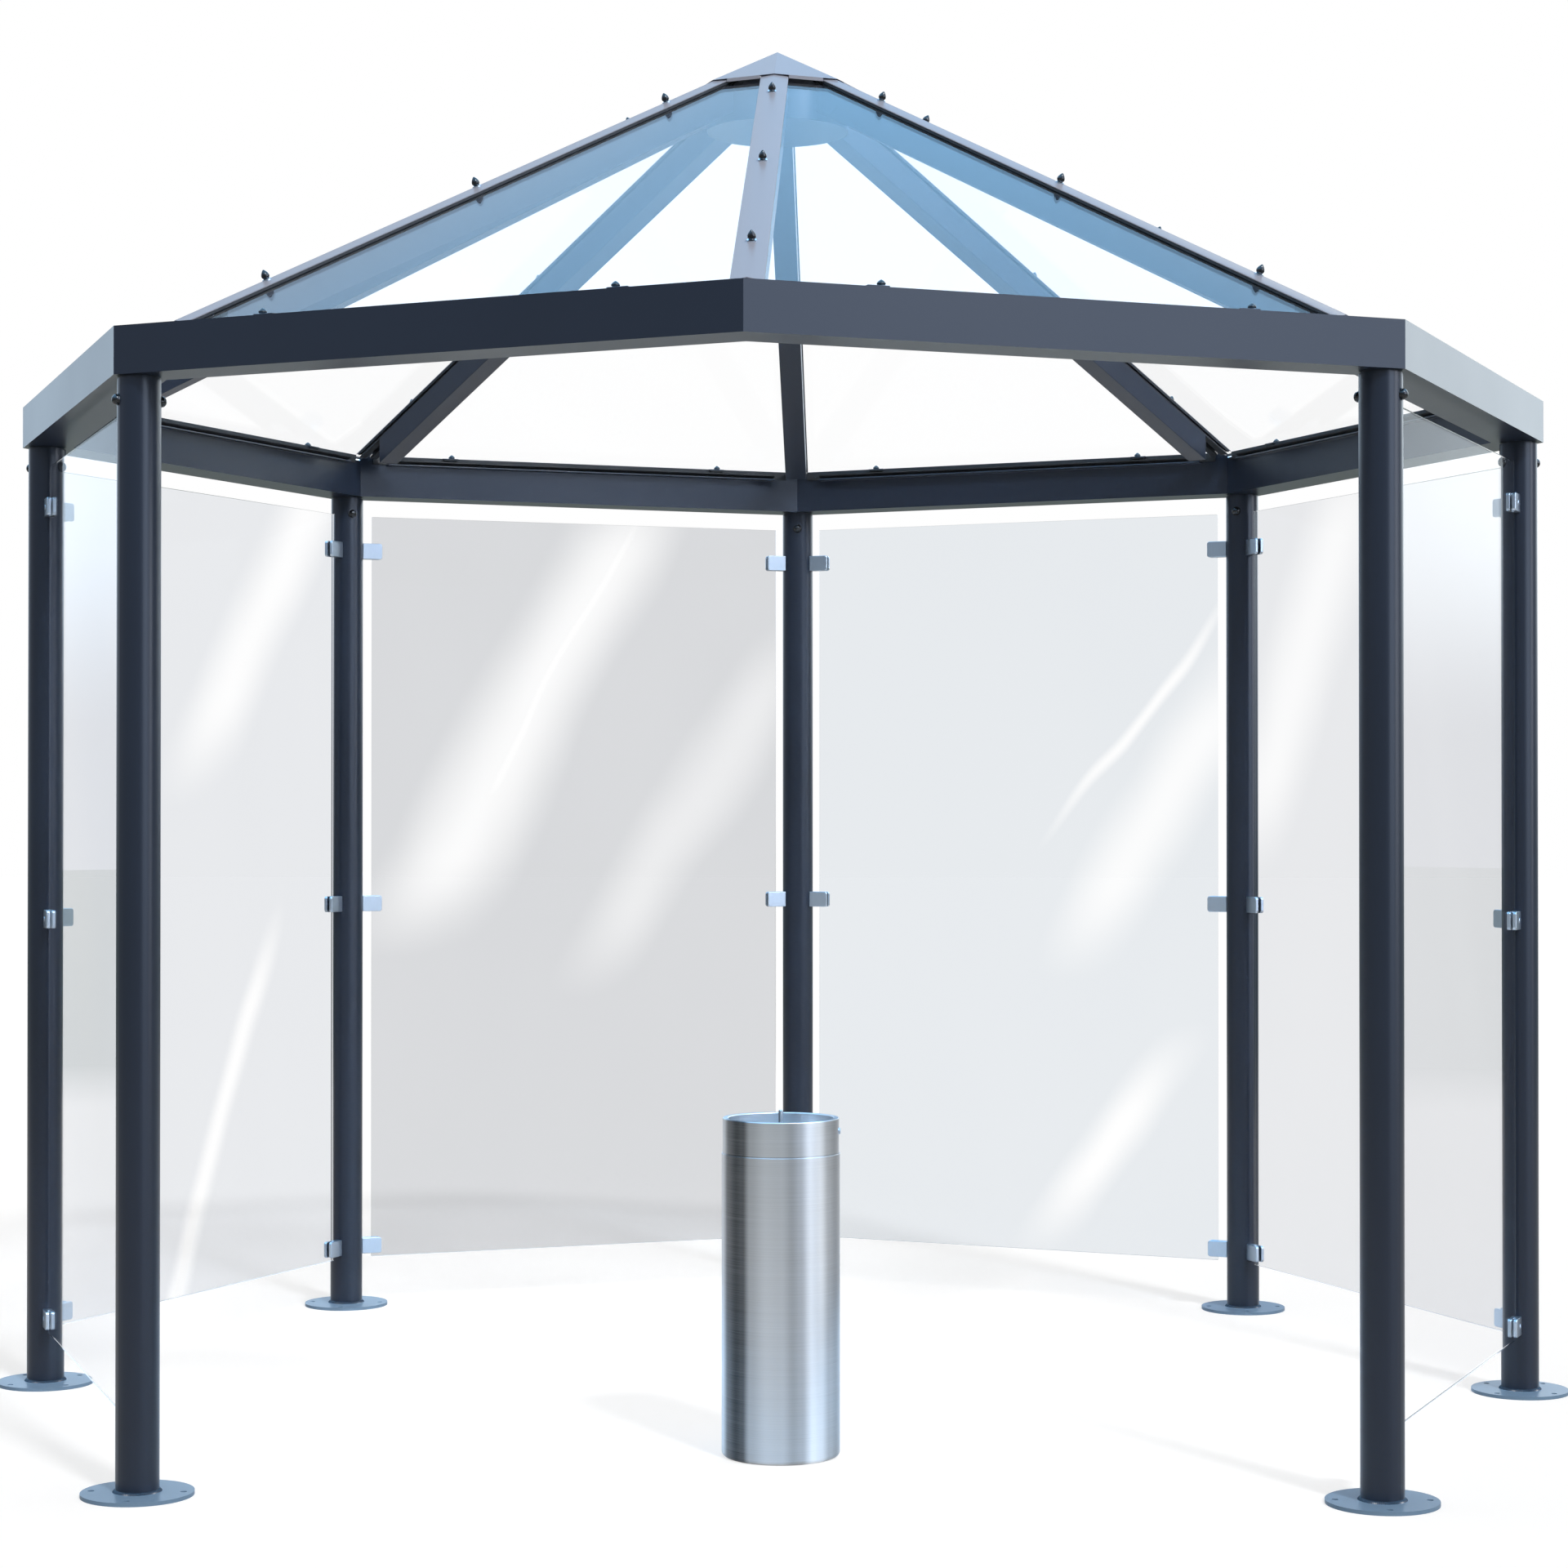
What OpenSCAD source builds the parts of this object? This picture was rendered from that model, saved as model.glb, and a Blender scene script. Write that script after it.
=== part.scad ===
// Octagonal open-fronted shelter: seven round posts, a folded eaves ring, eight
// hip rafters to a central hub, sloping roof glass, six clamped wall panes and a
// free-standing ash bin. Millimetres, +Z up, +Y to the back.
// The origin is the centre of the octagon on the floor.

/* [Eaves ring] */
// Width of the ring over its outer faces, flat to flat
ring_flats = 3400; // [3200:10:3600]
// Clear height under the ring
ring_z = 2275; // [2270:1:2280]
// Height of the outer fascia
fascia_h = 99; // [90:1:105]
// Height of the inner web, which stands above the ring's flat top
web_h = 113; // [110:1:118]
// Width of the underside
ring_w = 115; // [100:1:130]
// Sheet thickness of the folded ring
ring_t = 3; // [2:0.5:4]
// Width of the glass ledge on the inner web
ledge_w = 18; // [12:1:24]
// Length of the glass ledge, clear of the rafters at both ends
ledge_l = 1160; // [1000:10:1180]

/* [Posts] */
// Outer diameter of the posts
post_d = 88.9; // [76.1:0.1:101.6]
// Wall of the post tube
post_t = 3.6; // [2.6:0.2:5]
// Radius of the circle that the posts stand on
post_circle_r = 1780; // [1760:1:1785]
// Diameter of the base plates
base_d = 230; // [200:1:240]
// Thickness of the base plates
base_t = 8; // [6:1:12]
// Pitch circle of the four anchor holes
anchor_pcd = 190; // [160:1:200]
// Diameter of the anchor holes
anchor_d = 14; // [10:1:18]

/* [Roof] */
// Slope of the hip rafters, degrees from level
hip_pitch = 26; // [24:0.5:28]
// Height at which the lines of the cover strips' creases meet over the centre
crease_apex_z = 3227; // [3220:1:3240]
// Side of the square rafter tube
rafter_s = 60; // [50:1:70]
// Wall of the rafter tube
rafter_t = 3; // [2:0.5:4]
// Drop from the crease to the rafter's underside, measured vertically
rafter_drop = 97; // [94:1:100]
// Thickness of the roof glass
roof_glass_t = 8; // [6:1:8]
// Drop from the crease to the underside of the roof glass, measured vertically
glass_drop = 20; // [19:1:21]
// Gap between neighbouring roof panes at a hip
pane_gap = 16; // [12:1:20]
// Width of the folded cover strips
strip_w = 66; // [56:1:70]
// Sheet thickness of the cover strips
strip_t = 2; // [1.5:0.5:2.5]
// Drop of a strip's edges below its crease
strip_fall = 8; // [7:0.5:8.5]

/* [Hub and cap] */
// Diameter of the hub drum
hub_d = 340; // [320:2:350]
// Height of the drum's closed underside
hub_z = 3028; // [3025:1:3040]
// Height of the drum
hub_h = 70; // [60:1:75]
// Wall of the drum
hub_t = 5; // [4:1:8]
// Corner radius of the apex cap
cap_r = 210; // [190:1:220]
// Height of the cap's eave
cap_z = 3128; // [3127:0.5:3130]
// Rise of the cap from eave to peak
cap_rise = 100; // [98:1:102]
// Sheet thickness of the cap
cap_t = 2; // [1.5:0.5:2]

/* [Wall glass] */
// Width of a wall pane
wall_w = 1220; // [1200:1:1240]
// Height of a wall pane
wall_h = 2090; // [2000:5:2100]
// Gap under the wall panes
wall_z = 133; // [120:1:145]
// Thickness of the wall glass
wall_t = 8; // [6:1:10]

/* [Glass clamps] */
// Length of a clamp across the gap
clamp_l = 54; // [50:1:56]
// Height of a clamp
clamp_h = 44; // [40:1:50]
// Thickness of a clamp across the glass
clamp_t = 26; // [24:1:30]
// Corner radius of a clamp
clamp_r = 7; // [4:1:10]
// Depth of glass that a clamp holds
clamp_bite = 27; // [20:1:30]

/* [Ash bin] */
// Diameter of the bin
bin_d = 256; // [240:1:270]
// Height of the bin
bin_h = 728; // [700:1:760]
// Height of the removable head
bin_head_h = 76; // [70:1:90]
// Sheet thickness of the bin
bin_t = 2; // [1.5:0.5:3]

/* [Hidden] */
$fn = 96;
eps = 0.01;

// Angles of the eight corners and the eight sides, from +X towards +Y
CORNERS = [
    ["front", -90],
    ["front_right", -45],
    ["right", 0],
    ["back_right", 45],
    ["back", 90],
    ["back_left", 135],
    ["left", 180],
    ["front_left", 225]
];
SIDES = [
    ["front_left", -112.5],
    ["front_right", -67.5],
    ["right_front", -22.5],
    ["right_back", 22.5],
    ["back_right", 67.5],
    ["back_left", 112.5],
    ["left_back", 157.5],
    ["left_front", 202.5]
];
// The front corner has no post, and the two front sides have no glass
POST_CORNERS = [for (c = CORNERS) if (c[0] != "front") c];
GLAZED_SIDES = [for (s = SIDES) if (s[0] != "front_left" && s[0] != "front_right") s];

anthracite = [0.16, 0.19, 0.24];
clear_glass = [0.75, 0.82, 0.86, 0.4];
satin = [0.66, 0.69, 0.72];

half = 22.5;
ring_a = ring_flats / 2;
web_a = ring_a - ring_w;
hip_tan = tan(hip_pitch);
pane_tan = hip_tan / cos(half);
pane_pitch = atan(pane_tan);
post_r = post_d / 2;
post_a = post_circle_r * cos(half);
post_side = post_circle_r * sin(half);
web_corner_r = web_a / cos(half);
// Depth of the bin head's collar in the drum
collar_h = 12;

// Underside of the roof glass at apothem a
function glass_z(a) = crease_apex_z - glass_drop - a * pane_tan;

// ---- Helpers

// Puts a child drawn along +X at a corner or side of the octagon
module at_angle(angle) {
    rotate([0, 0, angle]) children();
}

// Wedge of the octagon that belongs to the side along +X, between its two mitres
module side_wedge() {
    reach = 2 * ring_a;
    linear_extrude(height = 4000)
        polygon([[0, 0], [reach, -reach * tan(half)], [reach, reach * tan(half)]]);
}

// Lays a profile drawn in (apothem, height) along the side's direction
module along_side(length) {
    rotate([90, 0, 0])
        translate([0, 0, -length / 2])
            linear_extrude(height = length) children();
}

// ---- Posts

module base_plate() {
    difference() {
        cylinder(h = base_t, r = base_d / 2);
        for (i = [0:3])
            rotate([0, 0, half * 2 + i * 90])
                translate([anchor_pcd / 2, 0, -1])
                    cylinder(h = base_t + 2, r = anchor_d / 2);
    }
}

// Tube on a drilled base plate, with a spigot that carries the ring
module post(angle) {
    weld = 5;
    spigot_r = post_r - post_t;
    spigot_h = 120;
    spigot_t = 4;
    shadow_gap = 4;
    color(anthracite)
        at_angle(angle)
            translate([post_circle_r, 0, 0]) {
                base_plate();
                translate([0, 0, base_t - eps])
                    difference() {
                        union() {
                            cylinder(h = ring_z - base_t - shadow_gap, r = post_r);
                            cylinder(h = weld, r1 = post_r + weld, r2 = post_r);
                        }
                        translate([0, 0, eps])
                            cylinder(h = ring_z, r = spigot_r);
                    }
                translate([0, 0, ring_z - spigot_h])
                    difference() {
                        cylinder(h = spigot_h, r = spigot_r + eps);
                        translate([0, 0, -1])
                            cylinder(h = spigot_h + 2, r = spigot_r - spigot_t);
                    }
            }
}

// ---- Eaves ring

// Closed folded section: fascia, underside, flat top, and a web that stands above the top
module ring_profile() {
    wall = ring_t;
    difference() {
        polygon([
            [web_a, ring_z],
            [ring_a, ring_z],
            [ring_a, ring_z + fascia_h],
            [web_a + wall, ring_z + fascia_h],
            [web_a + wall, ring_z + web_h],
            [web_a, ring_z + web_h]
        ]);
        translate([web_a + wall, ring_z + wall])
            square([ring_w - 2 * wall, fascia_h - 2 * wall]);
    }
}

// Shelf inside the web that carries the lower edge of a roof pane
module ledge_profile() {
    shelf_t = 4;
    seal_t = 3;
    shelf_z = glass_z(web_a) - seal_t - shelf_t;
    translate([web_a - ledge_w, shelf_z])
        square([ledge_w + eps, shelf_t]);
}

module eaves(angle) {
    color(anthracite)
        at_angle(angle)
            union() {
                intersection() {
                    along_side(2 * ring_a) ring_profile();
                    side_wedge();
                }
                along_side(ledge_l) ledge_profile();
            }
}

// ---- Roof frame

// Square tube from the hub down to the inner corner of the ring
module rafter(angle) {
    length = 2400;
    bottom = crease_apex_z - rafter_drop;
    tall = 2000;
    color(anthracite)
        at_angle(angle)
            difference() {
                intersection() {
                    translate([0, 0, bottom])
                        rotate([0, hip_pitch, 0])
                            difference() {
                                translate([0, -rafter_s / 2, 0])
                                    cube([length, rafter_s, rafter_s]);
                                translate([-1, rafter_t - rafter_s / 2, rafter_t])
                                    cube([length + 2, rafter_s - 2 * rafter_t, rafter_s - 2 * rafter_t]);
                            }
                    translate([0, 0, 1800])
                        rotate([0, 0, half])
                            cylinder(h = tall, r = web_corner_r, $fn = 8);
                }
                translate([0, 0, 1700])
                    cylinder(h = tall, r = hub_d / 2);
            }
}

module roof_hub() {
    color(anthracite)
        translate([0, 0, hub_z])
            difference() {
                cylinder(h = hub_h, r = hub_d / 2);
                translate([0, 0, hub_t])
                    cylinder(h = hub_h, r = hub_d / 2 - hub_t);
            }
}

// Eight-sided pyramid with a short skirt on each side, between the cover strips
module apex_cap() {
    lean = cap_t / cos(hip_pitch);
    skirt_l = 86;
    skirt_h = 8;
    color("lightsteelblue")
        translate([0, 0, cap_z]) {
            difference() {
                cylinder(h = cap_rise, r1 = cap_r, r2 = 0, $fn = 8);
                translate([0, 0, -lean])
                    cylinder(h = cap_rise, r1 = cap_r, r2 = 0, $fn = 8);
            }
            for (s = SIDES)
                at_angle(s[1])
                    translate([cap_r * cos(half) - cap_t - eps, -skirt_l / 2, -skirt_h])
                        cube([cap_t, skirt_l, skirt_h + eps]);
        }
}

// Sheet folded along the hip, drawn across the hip with its crease at the origin
module strip_profile() {
    w = strip_w / 2;
    polygon([
        [0, 0],
        [w, -strip_fall],
        [w, -strip_fall - strip_t],
        [0, -strip_t],
        [-w, -strip_fall - strip_t],
        [-w, -strip_fall]
    ]);
}

module cover_strips() {
    from_r = 130;
    to_r = web_corner_r - 20;
    length = (to_r - from_r) / cos(hip_pitch);
    color("lightsteelblue")
        for (c = CORNERS)
            at_angle(c[1])
                translate([from_r, 0, crease_apex_z - from_r * hip_tan])
                    rotate([0, hip_pitch, 0])
                        rotate([90, 0, 90])
                            linear_extrude(height = length) strip_profile();
}

// Plates on top of the web, each with a foot on the ring's flat top, that hold down
// the lower edge of the roof glass
module edge_clips() {
    spread = 400;
    plate = [46, 46, 3];
    overhang = 12;
    foot = 29;
    foot_h = web_h - fascia_h;
    color(anthracite)
        for (s = SIDES)
            at_angle(s[1])
                for (side = [-1, 1])
                    translate([web_a - overhang, side * spread - plate[1] / 2, ring_z + web_h]) {
                        cube(plate);
                        translate([plate[0] - foot, 0, -foot_h])
                            cube([foot, plate[1], foot_h + eps]);
                    }
}

// ---- Glass

// Trapezoid between two hips, drawn down the slope from the apex
module pane_outline(low_a, high_a) {
    edge = pane_gap / 2 / cos(half);
    low_s = low_a / cos(pane_pitch);
    high_s = high_a / cos(pane_pitch);
    polygon([
        [high_s, -high_a * tan(half) + edge],
        [low_s, -low_a * tan(half) + edge],
        [low_s, low_a * tan(half) - edge],
        [high_s, high_a * tan(half) - edge]
    ]);
}

module roof_glass(angle) {
    edge_gap = 6;
    high_a = 148;
    color(clear_glass)
        at_angle(angle)
            translate([0, 0, glass_z(0)])
                rotate([0, pane_pitch, 0])
                    linear_extrude(height = roof_glass_t)
                        pane_outline(web_a - edge_gap, high_a);
}

module wall_glass(angle) {
    color(clear_glass)
        at_angle(angle)
            translate([post_a - wall_t / 2, -wall_w / 2, wall_z])
                cube([wall_t, wall_w, wall_h]);
}

// ---- Clamps

// Clamp body in the plane of the glass, its rounded nose towards -Y
module clamp_outline() {
    nose = clamp_h / 2 - clamp_r;
    into_post = 4;
    for (v = [-nose, nose])
        translate([clamp_r, v])
            circle(r = clamp_r);
    translate([clamp_r, -clamp_h / 2])
        square([clamp_l - clamp_r + into_post, clamp_h]);
    translate([0, -nose])
        square([clamp_l, 2 * nose]);
}

module clamp(z) {
    lining = 0.3;
    slot = wall_t + 2 * lining;
    nose_t = post_side - post_r - clamp_l;
    translate([post_a, nose_t, z])
        difference() {
            rotate([90, 0, 90])
                translate([0, 0, -clamp_t / 2])
                    linear_extrude(height = clamp_t) clamp_outline();
            translate([-slot / 2, -1, -clamp_h])
                cube([slot, clamp_bite + 1, 2 * clamp_h]);
        }
}

module glass_clamps() {
    low = wall_z + 32;
    middle = wall_z + 997;
    high = wall_z + 1992;
    color(satin)
        for (s = GLAZED_SIDES)
            at_angle(s[1])
                for (z = [low, middle, high])
                    for (flip = [0, 1])
                        mirror([0, flip, 0])
                            difference() {
                                clamp(z);
                                translate([post_a, post_side, 0])
                                    cylinder(h = ring_z, r = post_r);
                            }
}

// ---- Ash bin

module at_bin() {
    translate([35, -805, 0]) children();
}

// Half section of a drum with a rounded foot, drawn in (radius, height)
module drum_half(r, h, rounding) {
    square([r - rounding, h]);
    translate([0, rounding])
        square([r, h - rounding]);
    translate([r - rounding, rounding])
        circle(r = rounding);
}

// Drum open at the top, with a seat inside for the head's collar
module ash_bin() {
    r = bin_d / 2;
    h = bin_h - bin_head_h;
    foot_r = 10;
    seat = 6;
    color(satin)
        at_bin()
            rotate_extrude() {
                difference() {
                    drum_half(r, h, foot_r);
                    translate([0, bin_t])
                        drum_half(r - bin_t, h, foot_r - bin_t);
                }
                translate([r - bin_t - seat, h - collar_h - bin_t])
                    square([seat + eps, bin_t]);
            }
}

// Collar and rim with a sunk ash bowl, and a lifting pin in its middle
module ash_bin_head() {
    z0 = bin_h - bin_head_h;
    play = 0.4;
    collar_r = bin_d / 2 - bin_t - play;
    head_r = bin_d / 2 - 2;
    seam = 2;
    bowl_r = bin_d / 2 - 14;
    bowl_z = bin_h - 45;
    pin_r = 5;
    pin_h = 61;
    color(satin)
        at_bin() {
            rotate_extrude()
                polygon([
                    [collar_r, z0 - collar_h],
                    [collar_r, z0 + seam],
                    [head_r, z0 + seam],
                    [head_r, bin_h],
                    [bowl_r, bin_h],
                    [bowl_r, bowl_z],
                    [0, bowl_z],
                    [0, bowl_z - bin_t],
                    [bowl_r + bin_t, bowl_z - bin_t],
                    [bowl_r + bin_t, bin_h - bin_t],
                    [head_r - bin_t, bin_h - bin_t],
                    [head_r - bin_t, z0 - collar_h]
                ]);
            translate([0, 0, bowl_z - eps])
                cylinder(h = pin_h, r = pin_r);
        }
}

for (c = POST_CORNERS)
    post(c[1]);
for (s = SIDES)
    eaves(s[1]);
for (c = CORNERS)
    rafter(c[1]);
roof_hub();
apex_cap();
cover_strips();
edge_clips();
for (s = SIDES)
    roof_glass(s[1]);
for (s = GLAZED_SIDES)
    wall_glass(s[1]);
glass_clamps();
ash_bin();
ash_bin_head();
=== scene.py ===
"""Looks of an octagonal glazed smoking shelter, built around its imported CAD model.

Every length is in metres, in the CAD model's own frame: +Z up, +Y to the back, the origin on
the floor at the centre of the octagon.
"""

import logging
from collections.abc import Callable, Iterable, Iterator
from dataclasses import dataclass
from enum import Enum
from math import atan, atan2, copysign, cos, pi, radians, sin, tan, tau

import bmesh
import bpy
from bmesh.types import BMEdge, BMVert
from mathutils import Matrix, Vector


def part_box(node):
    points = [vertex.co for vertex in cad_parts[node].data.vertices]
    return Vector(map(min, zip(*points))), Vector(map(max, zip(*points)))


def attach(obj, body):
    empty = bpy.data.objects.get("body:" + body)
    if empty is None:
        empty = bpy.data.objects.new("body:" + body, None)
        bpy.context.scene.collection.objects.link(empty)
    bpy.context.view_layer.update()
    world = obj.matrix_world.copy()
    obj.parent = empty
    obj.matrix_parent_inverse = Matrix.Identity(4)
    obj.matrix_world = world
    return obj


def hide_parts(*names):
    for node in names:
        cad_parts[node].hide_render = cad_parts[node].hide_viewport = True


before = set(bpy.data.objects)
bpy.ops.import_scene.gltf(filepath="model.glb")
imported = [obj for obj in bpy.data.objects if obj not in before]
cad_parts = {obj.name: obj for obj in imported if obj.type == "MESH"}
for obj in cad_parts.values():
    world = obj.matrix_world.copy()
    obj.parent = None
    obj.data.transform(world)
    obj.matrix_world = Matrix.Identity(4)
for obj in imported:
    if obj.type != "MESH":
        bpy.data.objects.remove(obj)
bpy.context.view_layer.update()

LOG = logging.getLogger("shelter")
BODY = "root"
SKIN = 0.0002  # the play between a seal and its neighbours, and what a bolt head is let in

Point = tuple[float, float]
Triple = tuple[float, float, float]
Rgb = Triple
Line = Callable[[float], float]
Socket = bpy.types.NodeSocket


# ---- Setting out


class Corner(Enum):
    """Corners of the octagon, each with its angle from +X towards +Y in degrees."""

    FRONT = -90.0
    FRONT_RIGHT = -45.0
    RIGHT = 0.0
    BACK_RIGHT = 45.0
    BACK = 90.0
    BACK_LEFT = 135.0
    LEFT = 180.0
    FRONT_LEFT = 225.0


class Side(Enum):
    """Sides of the octagon, each with the angle of its outward normal in degrees."""

    FRONT_LEFT = -112.5
    FRONT_RIGHT = -67.5
    RIGHT_FRONT = -22.5
    RIGHT_BACK = 22.5
    BACK_RIGHT = 67.5
    BACK_LEFT = 112.5
    LEFT_BACK = 157.5
    LEFT_FRONT = 202.5


def at(x: float, y: float, z: float) -> Matrix:
    """A frame shifted along X, Y and Z."""
    return Matrix.Translation((x, y, z))


def about_z(angle: float) -> Matrix:
    """A frame turned about Z by an angle in radians."""
    return Matrix.Rotation(angle, 4, "Z")


def facing(way: Side | Corner) -> Matrix:
    """Frame on the floor's middle, its +X out to the middle of a side or to a corner."""
    return about_z(radians(way.value))


HERE = Matrix.Identity(4)
SHARP = radians(30.0)
Z_TO_X = Matrix.Rotation(pi / 2, 4, "Y")
POST_CORNERS = [corner for corner in Corner if corner is not Corner.FRONT]
GLAZED_SIDES = [side for side in Side if side not in (Side.FRONT_LEFT, Side.FRONT_RIGHT)]


@dataclass(frozen=True)
class SettingOut:
    """Main lines of the shelter that its fittings are placed from."""

    half_angle: float = radians(22.5)
    hip_pitch: float = radians(26.0)
    crease_apex_z: float = 3.227
    glass_drop: float = 0.020
    glass_t: float = 0.008
    pane_gap: float = 0.016
    rafter_drop: float = 0.097
    rafter_s: float = 0.060
    strip_w: float = 0.066
    strip_t: float = 0.002
    strip_fall: float = 0.008
    ring_z: float = 2.275
    web_h: float = 0.113
    web_a: float = 1.585
    ledge_w: float = 0.018
    post_circle_r: float = 1.780
    post_r: float = 0.04445

    @property
    def pane_tan(self) -> float:
        """Fall of a roof pane for each metre of apothem."""
        return tan(self.hip_pitch) / cos(self.half_angle)

    def glass_low(self, apothem: float) -> float:
        """Height of the roof glass's underside at an apothem."""
        return self.crease_apex_z - self.glass_drop - apothem * self.pane_tan

    def glass_top(self, apothem: float) -> float:
        """Height of the roof glass's top at an apothem."""
        return self.glass_low(apothem) + self.glass_t / cos(atan(self.pane_tan))

    def post_at(self, corner: Corner, height: float) -> Matrix:
        """Frame in a post's middle at a height, +X away from the shelter's middle."""
        return facing(corner) @ at(self.post_circle_r, 0.0, height)

    def on_hip(self, corner: Corner, radius: float) -> Matrix:
        """Frame on a hip's crease: +X down the hip, +Z square to it.

        Args:
            corner: The corner that the hip runs down to.
            radius: Level distance from the shelter's middle.

        Returns:
            The frame.
        """
        height = self.crease_apex_z - radius * tan(self.hip_pitch)
        tilt = Matrix.Rotation(self.hip_pitch, 4, "Y")
        return facing(corner) @ at(radius, 0.0, height) @ tilt


PLAN = SettingOut()


# ---- Materials


class Recipe:
    """A node tree, with short calls for the nodes that the finishes use."""

    def __init__(self, name: str, world: bpy.types.World | None = None) -> None:
        """Starts an empty node tree with its output.

        Args:
            name: Name of the material that it makes.
            world: The world that it lights in place of making a material.
        """
        self.owner = world or bpy.data.materials.new(name)
        self.owner.use_nodes = True
        self.tree = self.owner.node_tree
        self.tree.nodes.clear()
        self.output = self.node("OutputWorld" if world else "OutputMaterial")

    def node(self, kind: str, *fed: object, **settings: object) -> bpy.types.Node:
        """Adds a shader node, sets its properties and feeds its first sockets in order."""
        made = self.tree.nodes.new(f"ShaderNode{kind}")
        for key, value in settings.items():
            setattr(made, key, value)
        for socket, value in zip(made.inputs, fed):
            self.feed(socket, value)
        return made

    def named(self, kind: str, **sockets: object) -> bpy.types.Node:
        """Adds a node and feeds sockets named by words joined with underscores."""
        made = self.node(kind)
        for key, value in sockets.items():
            self.feed(made.inputs[key.replace("_", " ")], value)
        return made

    def feed(self, socket: Socket, value: object) -> None:
        """Links an output to a socket, or sets the socket's own value."""
        if isinstance(value, Socket):
            self.tree.links.new(value, socket)
        else:
            socket.default_value = (*value, 1.0) if socket.type == "RGBA" else value

    def place(
        self, scale: Triple = (1, 1, 1), turn_z: float = 0.0, origin: Triple = (0, 0, 0)
    ) -> Socket:
        """Object coordinates about an origin, turned about Z and then scaled.

        Args:
            scale: Scale along each axis.
            turn_z: Turn about Z, in radians, that brings a direction onto +X.
            origin: The point of the object that becomes zero.

        Returns:
            The vector socket.
        """
        source = self.node("TexCoord").outputs["Object"]
        shift = self.node("VectorMath", source, origin, operation="SUBTRACT")
        turn = self.node("VectorRotate", shift.outputs[0], rotation_type="Z_AXIS")
        turn.inputs["Angle"].default_value = -turn_z
        stretch = self.node("VectorMath", turn.outputs[0], scale, operation="MULTIPLY")
        return stretch.outputs[0]

    def noise(self, where: Socket, scale: float, detail: float = 2.0) -> Socket:
        """Noise from 0 to 1 over a vector."""
        made = self.named("TexNoise", Vector=where, Scale=scale, Detail=detail)
        return made.outputs["Fac"]

    def maths(self, operation: str, a: object, b: object = 0.0) -> Socket:
        """One arithmetic step on two values."""
        return self.node("Math", a, b, operation=operation).outputs[0]

    def spread(
        self, value: Socket, low: float, high: float,
        start: float = 0.0, end: float = 1.0, smooth: bool = False,
    ) -> Socket:
        """Maps a value from the range start to end onto low to high."""
        curve = "SMOOTHSTEP" if smooth else "LINEAR"
        made = self.node("MapRange", value, start, end, low, high, interpolation_type=curve)
        return made.outputs["Result"]

    def window(self, value: Socket, low: float, high: float, soft: float) -> Socket:
        """1 where a value lies between two limits, fading to 0 over a width at each."""
        above = self.spread(value, 0.0, 1.0, low, low + soft, True)
        below = self.spread(value, 1.0, 0.0, high - soft, high, True)
        return self.maths("MULTIPLY", above, below)

    def blend(self, share: Socket, first: object, second: object) -> Socket:
        """Mixes two colours by a share."""
        made = self.node("Mix", share, data_type="RGBA")
        colours = [socket for socket in made.inputs if socket.type == "RGBA"]
        for socket, value in zip(colours, (first, second)):
            self.feed(socket, value)
        return made.outputs[2]

    def mixed(self, share: Socket, first: bpy.types.Node, second: bpy.types.Node) -> Socket:
        """Mixes two shader nodes by a share."""
        made = self.node("MixShader", share, first.outputs[0], second.outputs[0])
        return made.outputs[0]

    def axes(self, where: Socket) -> bpy.types.NodeOutputs:
        """The three parts of a vector."""
        return self.node("SeparateXYZ", where).outputs

    def bump(self, height: Socket, depth: float) -> Socket:
        """A normal from a height that runs from 0 to 1 over a depth in metres."""
        made = self.named("Bump", Strength=1.0, Distance=depth, Height=height)
        return made.outputs[0]

    def done(self, shader: Socket) -> bpy.types.ID:
        """Ends the tree in a shader and gives the material or world."""
        self.feed(self.output.inputs["Surface"], shader)
        return self.owner


@dataclass(frozen=True)
class PowderCoat:
    """Satin powder coat with a fine orange peel, and a painted blue sky reflection on the base
    plates that lie on the floor.
    """

    name: str
    slot: str
    colour: Rgb
    # painted blue sky reflection on the base plates
    foot_painted_reflection: Rgb = (0.19, 0.29, 0.41)
    foot_z: float = 0.0085
    roughness: float = 0.30
    variation: float = 0.10
    peel_scale: float = 420.0
    peel_depth: float = 0.00003
    level: float = 0.42
    foot_level: float = 0.08

    def material(self) -> bpy.types.Material:
        """Builds the finish."""
        recipe = Recipe(self.name)
        where = recipe.place()
        cloud = recipe.noise(where, 2.3, 4.0)
        low = tuple(part * (1.0 - self.variation) for part in self.colour)
        high = tuple(part * (1.0 + self.variation) for part in self.colour)
        coat = recipe.blend(cloud, low, high)
        on_floor = recipe.maths("LESS_THAN", recipe.axes(where)[2], self.foot_z)
        rough = recipe.spread(cloud, self.roughness - 0.03, self.roughness + 0.03)
        shader = recipe.named(
            "BsdfPrincipled",
            Base_Color=recipe.blend(on_floor, coat, self.foot_painted_reflection),
            Roughness=rough,
            Specular_IOR_Level=recipe.spread(on_floor, self.level, self.foot_level),
            Normal=recipe.bump(recipe.noise(where, self.peel_scale), self.peel_depth),
        )
        return recipe.done(shader.outputs[0])


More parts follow.
